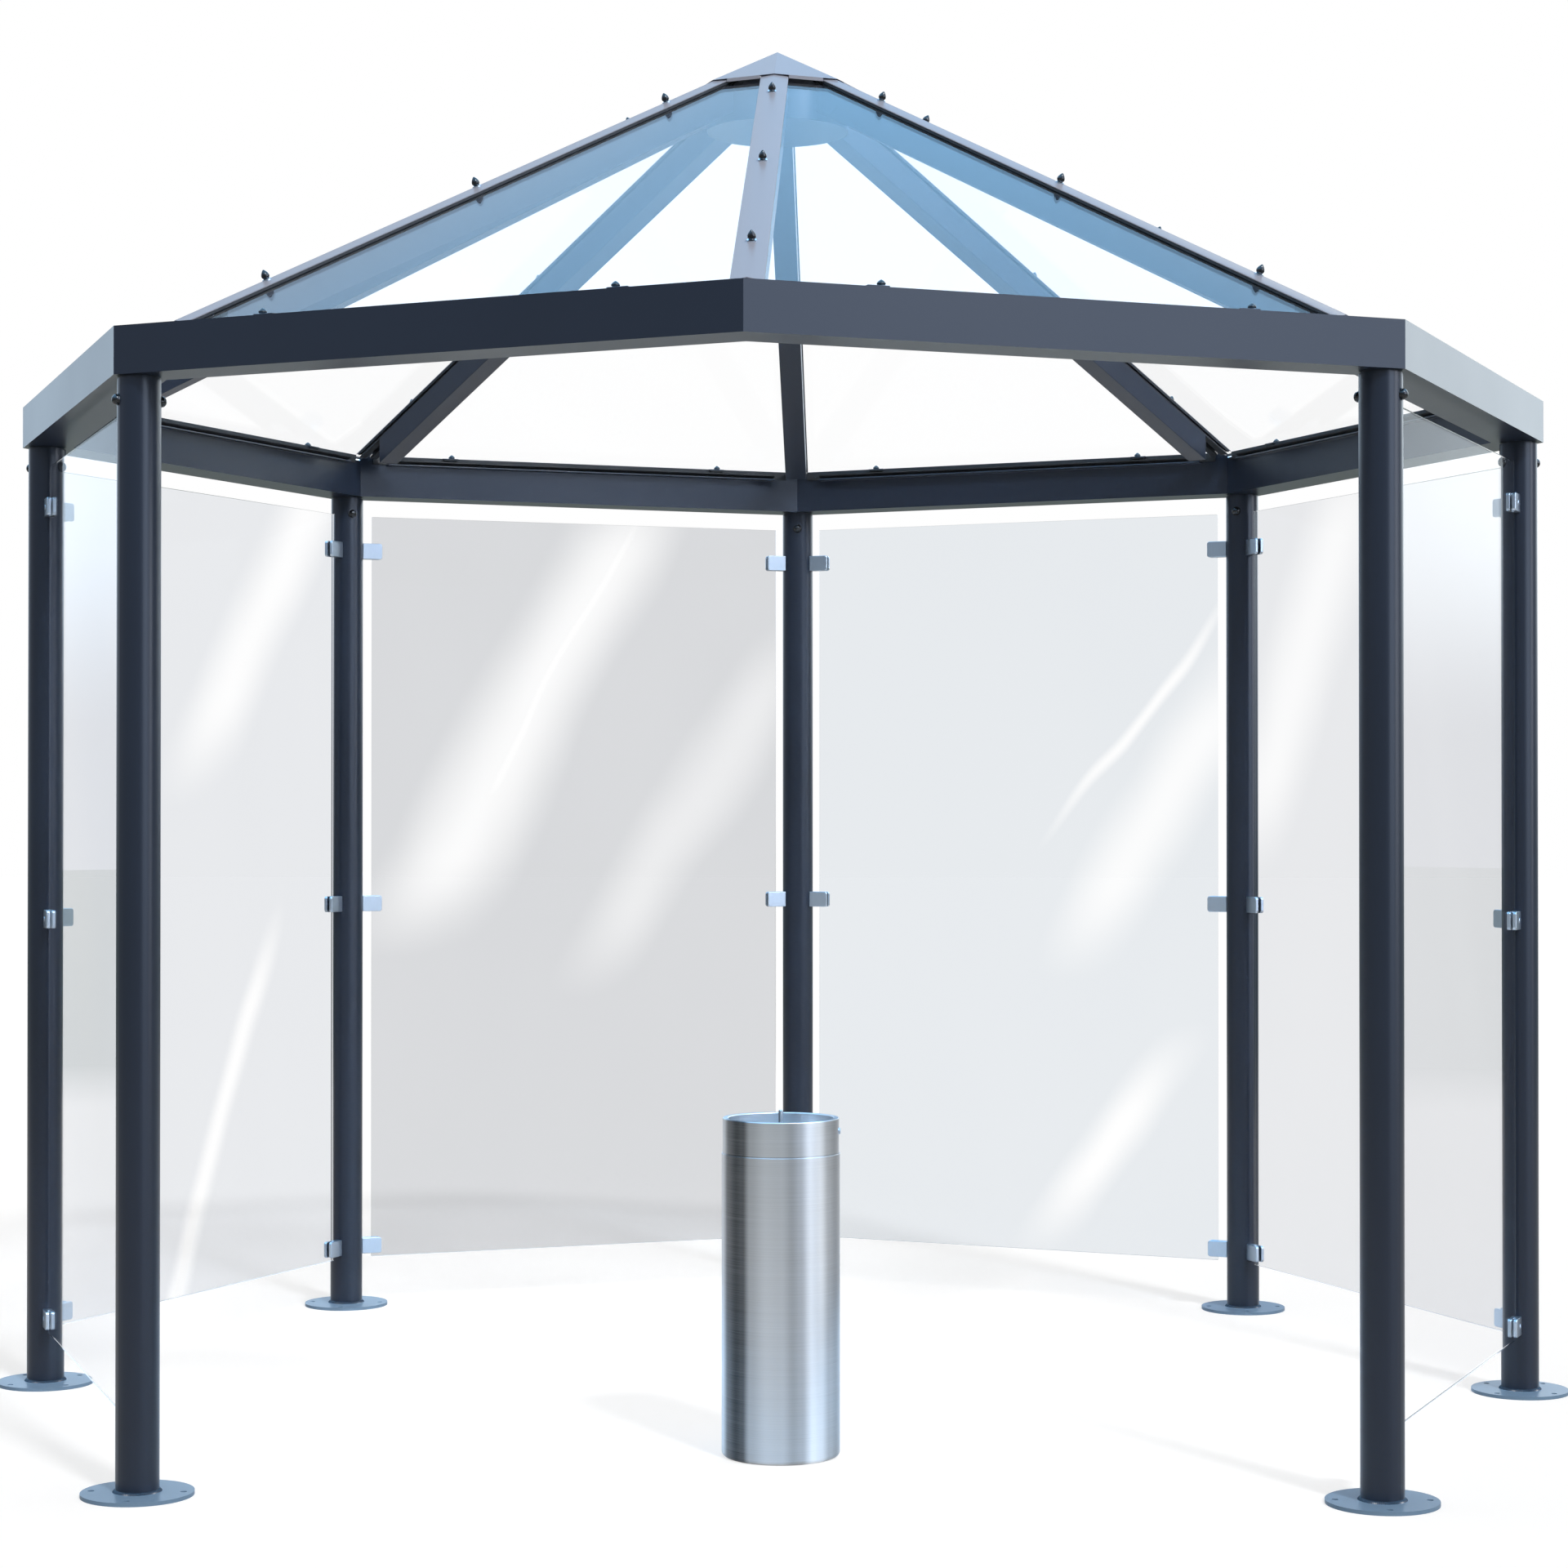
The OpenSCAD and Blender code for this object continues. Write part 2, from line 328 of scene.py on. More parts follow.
@dataclass(frozen=True)
class BrushedSteel:
    """Stainless steel with fine brush lines along one axis' planes."""

    name: str
    slot: str
    colour: Rgb
    roughness: float
    brush_scale: Triple
    brush_depth: float = 0.00001

    def material(self) -> bpy.types.Material:
        """Builds the finish."""
        recipe = Recipe(self.name)
        brush = recipe.noise(recipe.place(self.brush_scale), 1.0, 3.0)
        cloud = recipe.noise(recipe.place((9.0, 9.0, 1.5)), 1.0, 3.0)
        low = tuple(part * 0.86 for part in self.colour)
        high = tuple(part * 1.10 for part in self.colour)
        shader = recipe.named(
            "BsdfPrincipled",
            Base_Color=recipe.blend(recipe.maths("MULTIPLY", brush, cloud), low, high),
            Metallic=1.0,
            Roughness=recipe.spread(brush, self.roughness - 0.06, self.roughness + 0.08),
            Normal=recipe.bump(brush, self.brush_depth),
        )
        return recipe.done(shader.outputs[0])


@dataclass(frozen=True)
class RolledSteel:
    """Brushed sheet rolled into a drum, with darker and paler stripes of painted reflection round
    it.

    Attributes:
        painted_reflections: Turns from the drum's front in degrees and the painted reflection's
            tone there, from 0 to 1.
    """

    name: str
    slot: str
    centre: Triple
    # dark and pale colours of the painted reflection
    dark: Rgb = (0.05, 0.055, 0.060)
    pale: Rgb = (0.92, 0.95, 0.98)
    roughness: float = 0.30
    anisotropy: float = 0.5
    brush_scale: Triple = (5.0, 5.0, 1500.0)
    brush_depth: float = 0.000012
    # painted reflections: dark and pale stripes round the drum
    painted_reflections: tuple[Point, ...] = (
        (-180.0, 0.60), (-110.0, 0.75), (-76.0, 0.80), (-60.0, 0.12), (-47.0, 0.02),
        (-38.0, 0.08), (-29.0, 0.50), (-12.0, 0.70), (2.0, 0.64), (14.0, 0.42), (22.0, 0.48),
        (34.0, 1.0), (43.0, 0.88), (56.0, 0.48), (70.0, 0.34), (90.0, 0.60), (130.0, 0.72),
        (180.0, 0.60),
    )

    def tone(self, recipe: Recipe) -> Socket:
        """The painted reflection's tone round the drum, from 0 to 1."""
        parts = recipe.axes(recipe.place(origin=self.centre))
        forwards = recipe.maths("MULTIPLY", parts[1], -1.0)
        turn = recipe.maths("ARCTAN2", parts[0], forwards)
        drift = recipe.noise(recipe.place((3.0, 3.0, 0.8)), 1.0, 2.0)
        turned = recipe.maths("ADD", turn, recipe.spread(drift, -0.05, 0.05))
        share = recipe.spread(turned, 0.0, 1.0, -pi, pi)
        ramp = recipe.node("ValToRGB", share)
        ramp.color_ramp.interpolation = "EASE"
        stops = ramp.color_ramp.elements
        for index, (degrees, level) in enumerate(self.painted_reflections):
            place = (degrees + 180.0) / 360.0
            stop = stops[index] if index < 2 else stops.new(place)
            stop.position = place
            stop.color = (level, level, level, 1.0)
        return ramp.outputs[0]

    def material(self) -> bpy.types.Material:
        """Builds the finish."""
        recipe = Recipe(self.name)
        brush = recipe.noise(recipe.place(self.brush_scale, origin=self.centre), 1.0, 3.0)
        lines = recipe.spread(brush, -0.10, 0.10)
        share = recipe.maths("ADD", self.tone(recipe), lines)
        shader = recipe.named(
            "BsdfPrincipled",
            Base_Color=recipe.blend(share, self.dark, self.pale),
            Metallic=1.0,
            Roughness=recipe.spread(brush, self.roughness - 0.05, self.roughness + 0.07),
            Anisotropic=self.anisotropy,
            Normal=recipe.bump(brush, self.brush_depth),
        )
        tangent = recipe.node("Tangent", direction_type="RADIAL", axis="Z")
        recipe.feed(shader.inputs["Tangent"], tangent.outputs[0])
        return recipe.done(shader.outputs[0])


@dataclass(frozen=True)
class SmallParts:
    """Moulded or coated small parts: black cap nuts and bolts, and rubber."""

    name: str
    slot: str
    colour: Rgb
    roughness: float
    grain: float = 300.0
    depth: float = 0.00004

    def material(self) -> bpy.types.Material:
        """Builds the finish."""
        recipe = Recipe(self.name)
        where = recipe.place()
        cloud = recipe.noise(where, 35.0, 3.0)
        high = tuple(part * 1.8 + 0.004 for part in self.colour)
        shader = recipe.named(
            "BsdfPrincipled",
            Base_Color=recipe.blend(cloud, self.colour, high),
            Roughness=recipe.spread(cloud, self.roughness - 0.05, self.roughness + 0.08),
            Normal=recipe.bump(recipe.noise(where, self.grain), self.depth),
        )
        return recipe.done(shader.outputs[0])


@dataclass(frozen=True)
class ReflectionStreak:
    """A painted reflection: a soft paler streak that runs up a pane and to the right, seen from
    inside.

    Attributes:
        across: How far right of the pane's middle it is at half height.
        lean: How far it goes right for each metre of height.
        width: Its half width.
        strength: How pale it is, from 0 to 1.
        low: Where it ends below.
        high: Where it ends above.
    """

    across: float
    lean: float
    width: float
    strength: float
    low: float = -1.0
    high: float = 4.0


@dataclass(frozen=True)
class PaneGlass:
    """Clear toughened glass with a slight tint, with paler streaks of painted reflection in it."""

    name: str
    slot: str
    tint: Rgb
    streaks: tuple[ReflectionStreak, ...] = ()
    middle_z: float = 1.18
    fade: float = 0.35
    ior: float = 1.5
    roughness: float = 0.0

    def painted_reflections(self, recipe: Recipe, side: Side) -> Socket:
        """The share of painted reflection on a pane.

        Args:
            recipe: The node tree to add to.
            side: The side that the pane closes.

        Returns:
            The share, from 0 to 1.
        """
        parts = recipe.axes(recipe.place(turn_z=radians(side.value)))
        rightwards = recipe.maths("MULTIPLY", parts[1], -1.0)
        ripple = recipe.noise(recipe.place((1.0, 1.0, 0.6)), 2.2, 2.0)
        wander = recipe.spread(ripple, -0.06, 0.06)
        total = recipe.spread(ripple, 0.0, 0.10)
        for streak in self.streaks:
            rise = recipe.maths("SUBTRACT", parts[2], self.middle_z)
            line = recipe.maths("ADD", recipe.maths("MULTIPLY", rise, streak.lean), streak.across)
            off = recipe.maths("ADD", recipe.maths("SUBTRACT", rightwards, line), wander)
            distance = recipe.maths("ABSOLUTE", off)
            band = recipe.spread(distance, streak.strength, 0.0, 0.0, streak.width, True)
            window = recipe.window(parts[2], streak.low, streak.high, self.fade)
            total = recipe.maths("MAXIMUM", total, recipe.maths("MULTIPLY", band, window))
        return total

    def material(self, side: Side | None = None) -> bpy.types.Material:
        """Builds the glass, with the painted reflection streaks of a side or none.

        Args:
            side: The side that the pane closes, or None for a roof pane.

        Returns:
            The material.
        """
        recipe = Recipe(self.name if side is None else f"{self.name}_{side.name.lower()}")
        if side is None:
            pale = recipe.spread(recipe.noise(recipe.place(), 1.7, 2.0), 0.0, 0.25)
        else:
            pale = self.painted_reflections(recipe, side)
        # the pale share mixes the tint towards white: painted reflection streaks on wall panes
        colour = recipe.blend(pale, self.tint, (1.0, 1.0, 1.0))
        glass = recipe.named(
            "BsdfPrincipled",
            Base_Color=colour,
            Roughness=self.roughness,
            IOR=self.ior,
            Transmission_Weight=1.0,
        )
        clear = recipe.node("BsdfTransparent", colour)
        shadow = recipe.node("LightPath").outputs["Is Shadow Ray"]
        return recipe.done(recipe.mixed(shadow, glass, clear))


@dataclass(frozen=True)
class Finish:
    """A built material, with the record's slot that it stands for."""

    material: bpy.types.Material
    slot: str


ANTHRACITE = PowderCoat("anthracite_coat", "anthracite_paint", (0.011, 0.018, 0.034))
# the cover sheet's pale blue colour is a painted sky reflection, its specular turned down
COVER_SHEET_PAINTED_SKY = PowderCoat(
    "cover_sheet_painted_sky", "cover_sheet", (0.335, 0.352, 0.42), variation=0.06, level=0.04
)
CLAMP_STEEL = BrushedSteel(
    "satin_steel", "satin_stainless", (0.54, 0.60, 0.66), 0.34, (900.0, 900.0, 60.0)
)
BLACK_CAPS = SmallParts("black_cap", "black_fixings", (0.003, 0.0035, 0.005), 0.16)
RUBBER = SmallParts("seal_rubber", "black_rubber", (0.010, 0.011, 0.013), 0.62, 900.0)
ROOF_GLASS = PaneGlass("roof_pane", "roof_glass", (0.997, 0.999, 1.0), ior=1.10)


@dataclass
class Finishes:
    """The finishes that several sub-assemblies share."""

    coat: Finish
    sheet: Finish
    steel: Finish
    black: Finish
    rubber: Finish

    @classmethod
    def mixed(cls) -> "Finishes":
        """Builds each shared finish once."""
        looks = (ANTHRACITE, COVER_SHEET_PAINTED_SKY, CLAMP_STEEL, BLACK_CAPS, RUBBER)
        return cls(*(Finish(look.material(), look.slot) for look in looks))


# ---- Mesh work


class Workpiece:
    """A mesh under construction, which ends as one finished piece at the origin."""

    def __init__(self) -> None:
        """Starts with an empty mesh."""
        self.mesh = bmesh.new()

    def _add(self, part: bmesh.types.BMesh, place: Matrix) -> None:
        """Adds a separately built mesh in a frame, its normals outwards, and frees it."""
        bmesh.ops.transform(part, matrix=place, verts=part.verts[:])
        bmesh.ops.recalc_face_normals(part, faces=part.faces[:])
        carrier = bpy.data.meshes.new("carrier")
        part.to_mesh(carrier)
        part.free()
        self.mesh.from_mesh(carrier)
        bpy.data.meshes.remove(carrier)

    def drum(self, radius: float, height: float, place: Matrix, sides: int) -> None:
        """Adds a capped cylinder that stands on a frame's origin along its Z."""
        part = bmesh.new()
        bmesh.ops.create_cone(
            part, cap_ends=True, segments=sides, radius1=radius, radius2=radius, depth=height
        )
        self._add(part, place @ at(0.0, 0.0, height / 2))

    def turned(
        self, profile: Iterable[Point], place: Matrix, steps: int, closed: bool = False
    ) -> None:
        """Spins a profile of (radius, height) points about a frame's Z.

        Args:
            profile: The points in order; one on the axis closes that end.
            place: The frame.
            steps: How many steps make the full turn.
            closed: True where the last point joins the first one.
        """
        part = bmesh.new()
        points = [part.verts.new((radius, 0.0, height)) for radius, height in profile]
        pairs = list(zip(points, points[1:]))
        if closed:
            pairs.append((points[-1], points[0]))
        edges = [part.edges.new(pair) for pair in pairs]
        bmesh.ops.spin(
            part, geom=points + edges, cent=(0, 0, 0), axis=(0, 0, 1), dvec=(0, 0, 0),
            angle=tau, steps=steps, use_merge=True, use_duplicate=False,
        )
        bmesh.ops.remove_doubles(part, verts=part.verts[:], dist=1e-6)
        self._add(part, place)

    def drawn_out(self, outline: Iterable[Point], length: float, place: Matrix) -> None:
        """Pulls an outline of (x, z) points along a frame's Y, centred on the frame.

        Args:
            outline: The points in order.
            length: How long the bar is.
            place: The frame.
        """
        part = bmesh.new()
        start = part.faces.new([part.verts.new((x, -length / 2, z)) for x, z in outline])
        pulled = bmesh.ops.extrude_face_region(part, geom=[start])
        moved = [item for item in pulled["geom"] if isinstance(item, BMVert)]
        bmesh.ops.translate(part, verts=moved, vec=(0.0, length, 0.0))
        self._add(part, place)

    def rounded(
        self, width: float, segments: int = 2, keep: Callable[[BMEdge], bool] | None = None,
        least_angle: float = SHARP,
    ) -> None:
        """Rounds the sharp edges.

        Args:
            width: How wide the rounding is.
            segments: How many flats make it.
            keep: Says which edges stay sharp.
            least_angle: Edges flatter than this stay as they are.
        """
        bmesh.ops.recalc_face_normals(self.mesh, faces=self.mesh.faces[:])
        sharp = [
            edge for edge in self.mesh.edges
            if edge.is_manifold
            and edge.calc_face_angle(0.0) > least_angle
            and not (keep and keep(edge))
        ]
        bmesh.ops.bevel(
            self.mesh, geom=sharp, offset=width, offset_type="OFFSET", segments=segments,
            profile=0.5, affect="EDGES", clamp_overlap=True, material=-1,
        )

    def copied(self, places: Iterable[Matrix]) -> "Workpiece":
        """A new workpiece with this one repeated in each frame."""
        result = Workpiece()
        for place in places:
            result._add(self.mesh.copy(), place)
        self.mesh.free()
        return result

    def finished(self, name: str, finish: Finish, stands_for: Iterable[str] = ()) -> None:
        """Ends the work: one object that rides on the shelter's body.

        Args:
            name: The piece's name.
            finish: Its finish.
            stands_for: CAD nodes that it is shown in place of.
        """
        bmesh.ops.recalc_face_normals(self.mesh, faces=self.mesh.faces[:])
        data = bpy.data.meshes.new(name)
        self.mesh.to_mesh(data)
        self.mesh.free()
        data.materials.append(finish.material)
        data.shade_smooth()
        data.set_sharp_from_angle(angle=radians(38.0))
        piece = put(name, data)
        weighted = piece.modifiers.new("weighted", "WEIGHTED_NORMAL")
        weighted.keep_sharp = True
        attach(piece, BODY)
        if stands_for:
            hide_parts(*stands_for)
        LOG.info("%s: %d faces", name, len(data.polygons))


def arc(middle: Point, radius: float, first: float, step: float, count: int) -> list[Point]:
    """Points of a profile on an arc, at even turns from a first one, in degrees."""
    turns = [radians(first + step * index) for index in range(count)]
    return [(middle[0] + radius * cos(turn), middle[1] + radius * sin(turn)) for turn in turns]


def band(inner: float, outer: float, under: Line, over: Line) -> list[Point]:
    """Outline of a strip between two distances, from a lower line up to another."""
    return [
        (inner, under(inner)), (outer, under(outer)), (outer, over(outer)), (inner, over(inner))
    ]


def eased(node: str, suffix: str, finish: Finish, *rounding: object, **more: object) -> None:
    """Shows a CAD node as a piece of its own, with its sharp edges rounded.

    Args:
        node: The node's name.
        suffix: What the piece's name adds to it.
        finish: The piece's finish.
        rounding: What the rounding is told in order, from its width on.
        more: What it is told by name.
    """
    work = Workpiece()
    work.mesh.from_mesh(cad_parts[node].data)
    bmesh.ops.remove_doubles(work.mesh, verts=work.mesh.verts[:], dist=2e-6)
    bmesh.ops.dissolve_limit(
        work.mesh, angle_limit=radians(0.2), verts=work.mesh.verts[:],
        edges=work.mesh.edges[:], use_dissolve_boundaries=False,
    )
    work.rounded(*rounding, **more)
    work.finished(f"{node}_{suffix}", finish, [node])


def put(name: str, data: bpy.types.ID) -> bpy.types.Object:
    """Makes an object of some data and puts it in the scene."""
    made = bpy.data.objects.new(name, data)
    bpy.context.scene.collection.objects.link(made)
    return made


def dress(node: str, finish: Finish) -> None:
    """Gives a CAD node that stays in view its finish."""
    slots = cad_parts[node].data.materials
    slots.clear()
    slots.append(finish.material)


# ---- Sub-assemblies


@dataclass
class Fixings:
    """Patterns of the small fixings that the sub-assemblies repeat."""

    cap_r: float = 0.0088
    cap_h: float = 0.0215
    low_cap_h: float = 0.0135
    washer_r: float = 0.0098
    washer_sink: float = 0.003
    washer_up: float = 0.0012
    button_r: float = 0.0112
    button_h: float = 0.0125

    def washer(self) -> Workpiece:
        """The flat washer under a cap, let a little into the face that it lies on."""
        work = Workpiece()
        sunk = at(0.0, 0.0, -self.washer_sink)
        work.drum(self.washer_r, self.washer_sink + self.washer_up, sunk, 28)
        return work

    def cap_nut(self, height: float) -> Workpiece:
        """A moulded cap over a nut, narrow at its foot and pointed, along +Z.

        Args:
            height: Height of the cap's point above the origin.

        Returns:
            The pattern.
        """
        work = Workpiece()
        waist = 0.72
        shape = (
            (waist, 0.0), (waist + 0.02, 0.08), (0.90, 0.18), (0.99, 0.28), (1.0, 0.36),
            (0.95, 0.48), (0.83, 0.60), (0.66, 0.72), (0.47, 0.83), (0.27, 0.93), (0.12, 0.985),
        )
        rise = height - self.washer_up
        side = [(self.cap_r * out, self.washer_up + rise * up) for out, up in shape]
        work.turned([(0.0, self.washer_up), *side, (0.0, height)], HERE, 28)
        return work

    def button_bolt(self) -> Workpiece:
        """A domed bolt head on a thin washer, standing on the origin along +Z."""
        work = Workpiece()
        low = -0.003
        washer = self.button_r + 0.0015
        dome = [
            (self.button_r * cos(turn), self.button_h * (0.25 + 0.75 * sin(turn)))
            for turn in (radians(step * 11.25) for step in range(8))
        ]
        profile = [(0.0, low), (washer, low), (washer, 0.0015), (self.button_r, 0.0015)]
        work.turned([*profile, *dome, (0.0, self.button_h)], HERE, 28)
        return work

    def socket_screw(self) -> Workpiece:
        """A flat socket screw head with its hexagon recess, flush with the origin."""
        work = Workpiece()
        outer, recess, depth, proud = 0.0065, 0.0026, 0.003, 0.0008
        profile = (
            (recess, -depth), (recess, proud), (outer - proud, proud), (outer, 0.0), (outer, -depth)
        )
        work.turned(profile, HERE, 24, closed=True)
        work.drum(recess * 1.1, depth * 0.3, at(0.0, 0.0, -depth), 12)
        return work


@dataclass
class Posts:
    """Seven round posts on base plates, with the domed bolts that pin the ring's spigots."""

    bolt_z: float = 2.227
    bolt_turn: float = radians(17.0)
    bolt_reach: float = PLAN.post_r - SKIN
    base_t: float = 0.008
    weld: float = 0.005
    weld_sunk: float = 0.001
    ripple: float = 0.0005

    def bolt_places(self) -> Iterator[Matrix]:
        """Frames on the posts' surfaces, +Z outwards, one at each end of every bolt."""
        for corner in POST_CORNERS:
            side = copysign(1.0, cos(radians(corner.value)))
            turn = 0.0 if corner is Corner.BACK else side * self.bolt_turn
            centre = PLAN.post_at(corner, self.bolt_z)
            for end in (0.0, pi):
                yield centre @ about_z(turn + end) @ at(self.bolt_reach, 0.0, 0.0) @ Z_TO_X

    def weld_bead(self, coat: Finish) -> None:
        """Lays a rippled fillet weld round the foot of every post."""
        ripples = 110
        work = Workpiece()
        leg, sunk = self.weld, -self.weld_sunk
        toe = leg - 1.2 * sunk
        face = ((leg * 0.75, leg * 0.55), (leg * 0.35, leg * 0.95))
        section = ((sunk, sunk), (toe, sunk), *face, (sunk, toe))
        bead = [(PLAN.post_r + out, self.base_t + up) for out, up in section]
        work.turned(bead, HERE, ripples * 2, closed=True)
        for vert in work.mesh.verts:
            turn = atan2(vert.co.y, vert.co.x)
            swell = self.ripple * cos(turn * ripples)
            vert.co.x += swell * cos(turn)
            vert.co.y += swell * sin(turn)
        feet = [PLAN.post_at(corner, 0.0) for corner in POST_CORNERS]
        work.copied(feet).finished("post_foot_welds", coat)

    def build(self, fixings: Fixings, finishes: Finishes) -> None:
        """Dresses the posts and adds their bolts and welds."""
        for corner in POST_CORNERS:
            dress(f"post_{corner.name.lower()}", finishes.coat)
        bolts = fixings.button_bolt().copied(self.bolt_places())
        bolts.finished("post_bolts", finishes.black)
        self.weld_bead(finishes.coat)


@dataclass
class Eaves:
    """Eight folded and mitred beams, with rubber along the web where the glass ends."""

    fold_r: float = 0.0022
    seal_t: float = 0.0055
    seal_low: float = 2.366
    seal_high: float = 2.391
    seal_end: float = 0.034
    seal_r: float = 0.001
    ledge_l: float = 1.160
    edge_gap: float = 0.001
    web_gap: float = 0.0062
    ledge_seal_t: float = 0.0028

    def mitred(self, side: Side) -> Callable[[BMEdge], bool]:
        """Tells the edges that lie in a beam's mitre planes, which stay sharp."""
        to_side = facing(side).inverted()

        def on_mitre(vert: BMVert) -> bool:
            """True for a vertex in one of the mitre planes."""
            local = to_side @ vert.co
            return abs(abs(local.y) - local.x * tan(PLAN.half_angle)) < 2e-5

        return lambda edge: all(on_mitre(vert) for vert in edge.verts)

    def build(self, finishes: Finishes) -> None:
        """Builds the beams with rounded folds, and lays the seals."""
        for side in Side:
            node = f"eaves_{side.name.lower()}"
            eased(node, "folded", finishes.coat, self.fold_r, 3, self.mitred(side))
        length = 2 * (PLAN.web_a * tan(PLAN.half_angle) - self.seal_end)
        web_seal, ledge_seal = Workpiece(), Workpiece()
        for side in Side:
            outline = band(
                PLAN.web_a - self.seal_t, PLAN.web_a,
                lambda _: self.seal_low, lambda _: self.seal_high,
            )
            web_seal.drawn_out(outline, length, facing(side))
            outline = band(
                PLAN.web_a - PLAN.ledge_w + self.edge_gap, PLAN.web_a - self.web_gap,
                lambda a: PLAN.glass_low(a) - self.ledge_seal_t,
                lambda a: PLAN.glass_low(a) - SKIN,
            )
            ledge_seal.drawn_out(outline, self.ledge_l, facing(side))
        web_seal.rounded(self.seal_r)
        web_seal.finished("web_seals", finishes.rubber)
        ledge_seal.finished("ledge_seals", finishes.rubber)


@dataclass
class RoofFrame:
    """Rafters, hub and the folded cover strips with their nuts and seals."""

    tube_r: float = 0.003
    strip_r: float = 0.0006
    nut_radii: tuple[float, ...] = (0.356, 0.915, 1.471)
    from_r: float = 0.165
    to_r: float = 1.690
    lip_in: float = 0.021
    lip_out: float = 0.0325
    pad_gap: float = 0.001
    sleeve_r: float = 0.005
    sleeve_let_in: float = 0.0005
    hub_edge_r: float = 0.0015
    tube_angle: float = radians(80.0)
    cap_angle: float = radians(10.0)

    def square_to_hip(self, drop: float) -> float:
        """Turns a vertical drop below the crease into one square to the hip."""
        return -drop * cos(PLAN.hip_pitch)

    def glass_line(self, across: float, drop: float) -> float:
        """Level of a roof pane's face, square to the hip, at a distance across from it."""
        fall = sin(PLAN.half_angle) * PLAN.pane_tan
        return self.square_to_hip(drop + across * fall)

    def strip_line(self, across: float) -> float:
        """Level of a cover strip's underside at a distance across from its crease."""
        return -PLAN.strip_t - PLAN.strip_fall * across / (PLAN.strip_w / 2)

    def along_hips(self, outline: list[Point]) -> Workpiece:
        """Draws an outline of (across, level) points and its mirror down all the hips."""
        length = (self.to_r - self.from_r) / cos(PLAN.hip_pitch)
        middle_r = (self.to_r + self.from_r) / 2
        pattern = Workpiece()
        for half in (outline, [(-across, level) for across, level in outline]):
            pattern.drawn_out(half, length, about_z(pi / 2))
        return pattern.copied(PLAN.on_hip(corner, middle_r) for corner in Corner)

    def seals(self, rubber: Finish) -> None:
        """Lays the rubber above and below the glass along each hip."""
        top_drop = PLAN.crease_apex_z - PLAN.glass_top(0.0)
        lip = band(
            self.lip_in, self.lip_out,
            lambda a: self.glass_line(a, top_drop) + SKIN, lambda a: self.strip_line(a) - SKIN,
        )
        self.along_hips(lip).finished("hip_lip_seals", rubber)
        rafter_top = self.square_to_hip(PLAN.rafter_drop) + PLAN.rafter_s
        pad = band(
            PLAN.pane_gap / 2, PLAN.rafter_s / 2 - self.pad_gap,
            lambda _: rafter_top + SKIN, lambda a: self.glass_line(a, PLAN.glass_drop) - SKIN,
        )
        self.along_hips(pad).finished("rafter_seals", rubber)

    def build(self, fixings: Fixings, finishes: Finishes) -> None:
        """Builds the rafters and strips with rounded edges, and their fixings."""
        for corner in Corner:
            node = f"rafter_{corner.name.lower()}"
            eased(node, "tube", finishes.coat, self.tube_r, 3, least_angle=self.tube_angle)
        # the cover strips and apex cap get the cover sheet finish with its painted sky reflection
        eased("cover_strips", "folded", finishes.sheet, self.strip_r)
        eased("apex_cap", "folded", finishes.sheet, self.strip_r, least_angle=self.cap_angle)
        eased("roof_hub", "turned", finishes.coat, self.hub_edge_r)
        places = [PLAN.on_hip(corner, radius) for corner in Corner for radius in self.nut_radii]
        fixings.cap_nut(fixings.cap_h).copied(places).finished("strip_nuts", finishes.black)
        fixings.washer().copied(places).finished("strip_washers", finishes.steel)
        sleeve = Workpiece()
        bottom = self.square_to_hip(PLAN.rafter_drop) + PLAN.rafter_s - self.sleeve_let_in
        height = -PLAN.strip_t - self.sleeve_let_in - bottom
        sleeve.drum(self.sleeve_r, height, at(0.0, 0.0, bottom), 20)
        sleeve.copied(places).finished("strip_spacers", finishes.steel)
        self.seals(finishes.rubber)


@dataclass
class EdgeClips:
    """Plates that hold the roof glass at the ring, each with a nut and a rubber pad."""

    spread: float = 0.400
    nut_a: float = 0.018
    nut_off: float = 0.011
    plate_low: float = PLAN.ring_z + PLAN.web_h
    plate_t: float = 0.003
    pad_from: float = 1.5745
    pad_to: float = 1.5785
    pad_w: float = 0.038
    edge_r: float = 0.001

    def build(self, fixings: Fixings, finishes: Finishes) -> None:
        """Builds the clips with eased edges, and their nuts and pads."""
        eased("edge_clips", "eased", finishes.coat, self.edge_r)
        places = []
        pads = Workpiece()
        outline = band(
            self.pad_from, self.pad_to,
            lambda a: PLAN.glass_top(a) + SKIN, lambda _: self.plate_low - SKIN,
        )
        for side in Side:
            backwards = copysign(1.0, cos(radians(side.value)))
            for along in (-self.spread, self.spread):
                across = along + backwards * self.nut_off
                spot = at(PLAN.web_a + self.nut_a, across, self.plate_low + self.plate_t)
                places.append(facing(side) @ spot)
                pads.drawn_out(outline, self.pad_w, facing(side) @ at(0.0, along, 0.0))
        fixings.cap_nut(fixings.low_cap_h).copied(places).finished("clip_nuts", finishes.black)
        fixings.washer().copied(places).finished("clip_washers", finishes.steel)
        pads.finished("clip_pads", finishes.rubber)


